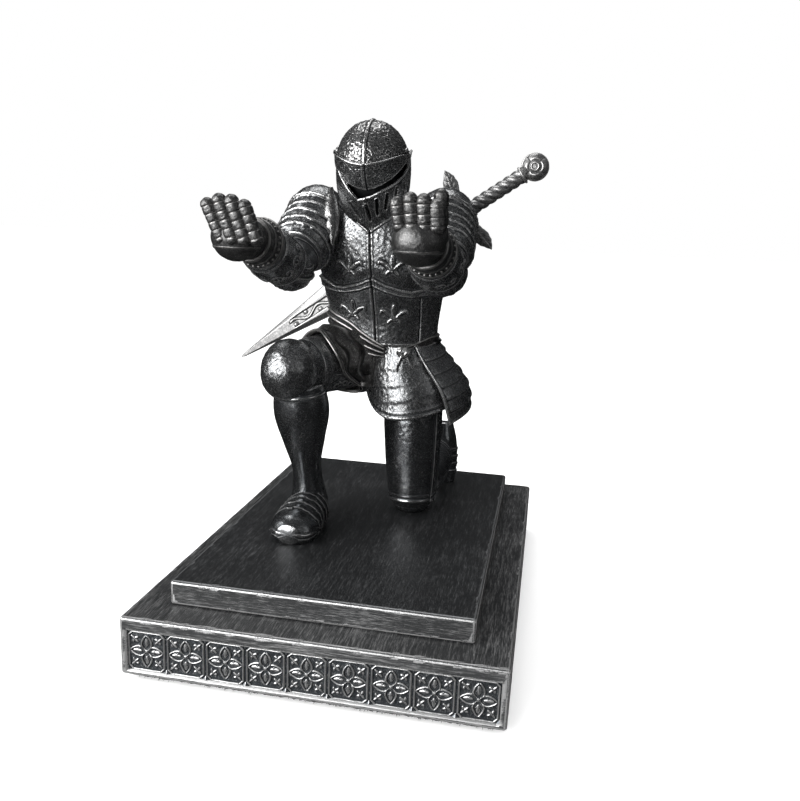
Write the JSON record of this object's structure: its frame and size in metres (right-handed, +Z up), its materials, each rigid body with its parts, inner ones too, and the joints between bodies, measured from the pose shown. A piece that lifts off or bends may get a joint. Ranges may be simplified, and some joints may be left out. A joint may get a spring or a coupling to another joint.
{
  "type": "kneeling knight pen holder figurine",
  "caption": "Kneeling armoured knight on a two-step plinth that offers a pen across raised open gauntlets, with a lifting visor and a removable sword on the back.",
  "frame": {"origin": "middle of the felt pad's underside, where the figurine rests on a desk", "axes": "+Z up, the knight faces -Y, +X is the knight's left hand"},
  "size_m": [0.0854, 0.111, 0.1193],
  "materials": {
    "pewter_paint": "dark antique pewter paint over cast resin, dry-brushed silver on raised edges, semi-gloss",
    "pewter_cloth": "the same antique paint on the sculpted cloth of the tunic, darker in the folds",
    "mail_dark": "near-black antique paint on the mail collar and inner head",
    "base_paint": "gunmetal paint with silver brush streaks and worn silver edges, semi-gloss",
    "frieze_silver": "slate ground with silver-brushed raised ornament",
    "blade_silver": "bright polished silver with dark paint left in the ornament",
    "felt": "dark felt",
    "screw_steel": "plain steel"
  },
  "bodies": {
    "figure": {"felt_pad": "felt", "base_plinth": "base_paint", "front_frieze": "frieze_silver", "upper_step": "base_paint", "fixing_screws": "screw_steel", "right_sabaton": "pewter_paint", "right_greave": "pewter_paint", "right_poleyn": "pewter_paint", "right_cuisse": "pewter_paint", "left_sabaton": "pewter_paint", "left_greave": "pewter_paint", "left_poleyn": "pewter_paint", "left_cuisse": "pewter_paint", "tunic_skirt": "pewter_cloth", "tunic_drape": "pewter_cloth", "left_front_tasset": "pewter_paint", "left_side_tasset": "pewter_paint", "belt": "pewter_paint", "belt_knot": "pewter_paint", "torso_core": "pewter_paint", "breastplate": "pewter_paint", "backplate": "pewter_paint", "gorget": "mail_dark", "inner_head": "mail_dark", "helmet_skull": "pewter_paint", "helmet_bevor": "pewter_paint", "visor_pivots": "pewter_paint", "right_pauldron": "pewter_paint", "right_rerebrace": "pewter_paint", "right_couter": "pewter_paint", "right_vambrace": "pewter_paint", "right_gauntlet": "pewter_paint", "right_fingers": "pewter_paint", "left_pauldron": "pewter_paint", "left_rerebrace": "pewter_paint", "left_couter": "pewter_paint", "left_vambrace": "pewter_paint", "left_gauntlet": "pewter_paint", "left_fingers": "pewter_paint", "sword_carrier": "pewter_paint"},
    "visor": {"helmet_visor": "pewter_paint"},
    "sword": {"sword_blade": "blade_silver", "sword_guard": "blade_silver", "sword_grip": "blade_silver", "sword_pommel": "blade_silver"}
  },
  "joints": [
    {"name": "visor_hinge", "type": "hinge", "parent": "figure", "child": "visor", "pos_m": [-0.0033, 0.0032, 0.1113], "axis": [-1, 0, 0], "range_deg": [0, 48]},
    {"name": "sword_draw", "type": "slide", "parent": "figure", "child": "sword", "axis": [0.8227, 0, 0.5685], "range_m": [0, 0.08]}
  ]
}
